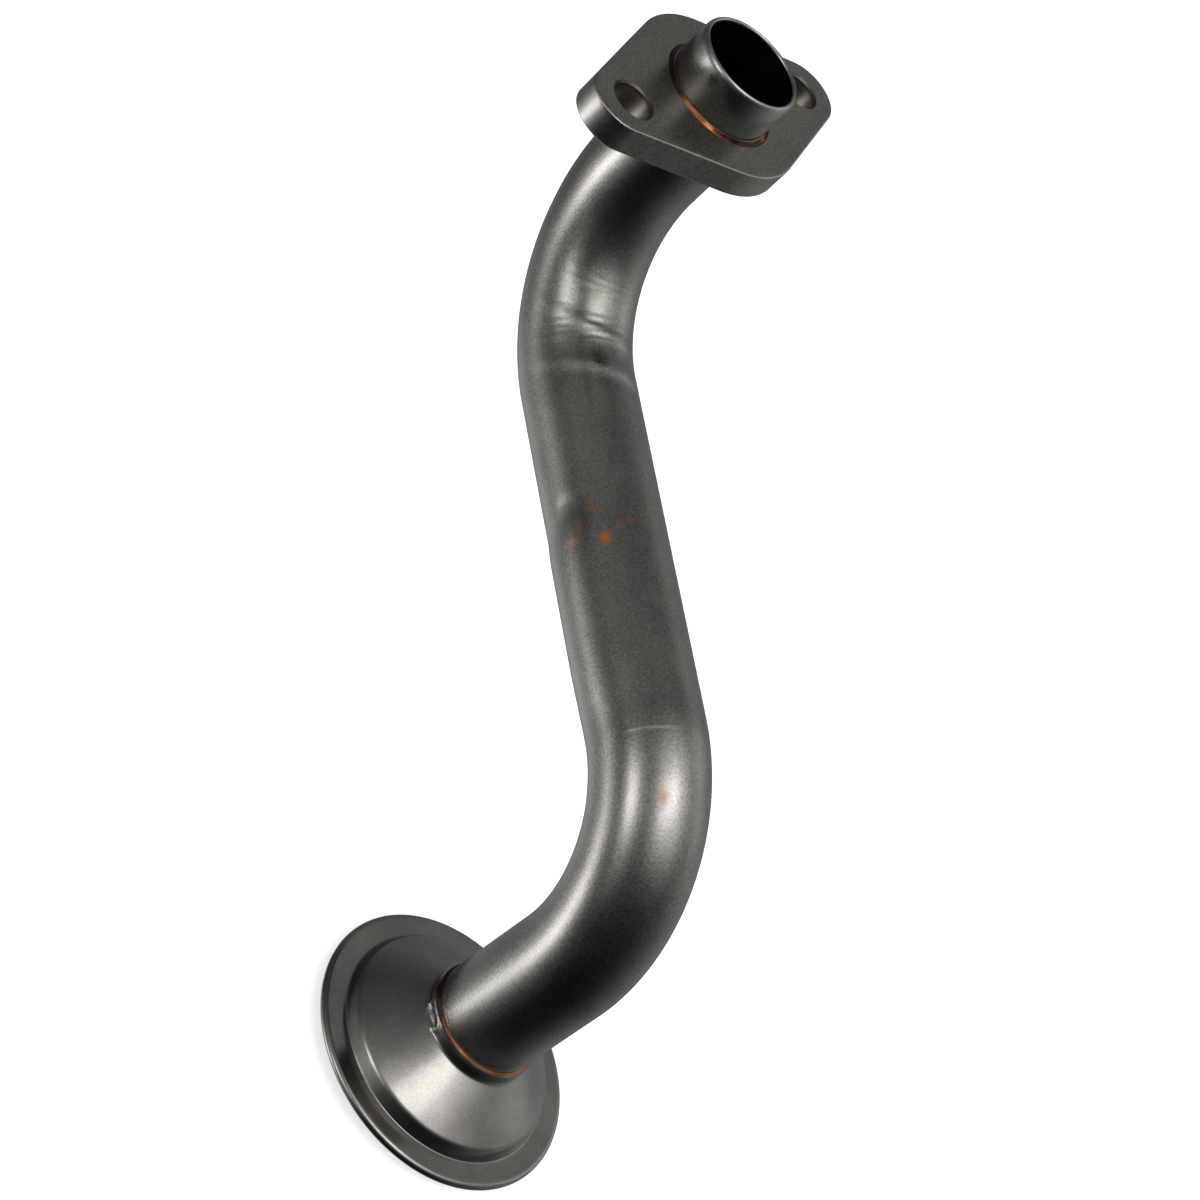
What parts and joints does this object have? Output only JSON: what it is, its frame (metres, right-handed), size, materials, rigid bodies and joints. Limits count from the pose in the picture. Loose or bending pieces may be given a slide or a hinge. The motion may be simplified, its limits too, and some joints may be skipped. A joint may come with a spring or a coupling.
{
  "type": "oil pickup tube",
  "caption": "Bent steel oil pickup tube with a bolt-on flange and a spigot at one end and a stamped suction bell with a strainer at the other.",
  "frame": {"origin": "centre of the flange's mating face, on the spigot's axis", "axes": "+Z out of the spigot, +X along the line of the bolt holes; the tube leaves downwards and the bell hangs below, mouth down"},
  "size_m": [0.1599, 0.2292, 0.1877],
  "materials": {
    "tube_steel": "dark satin bare tube with a fine transverse grain and small copper stains",
    "flange_steel": "dark fine-grained matte plate with rubbed edges",
    "bell_steel": "dark satin stamped sheet",
    "screen_steel": "dark satin perforated sheet",
    "copper_braze": "dull orange-brown copper"
  },
  "bodies": {
    "root": {"pickup_tube": "tube_steel", "mounting_flange": "flange_steel", "flange_braze": "copper_braze", "pickup_bell": "bell_steel", "bell_braze": "copper_braze", "strainer_screen": "screen_steel"}
  },
  "joints": []
}
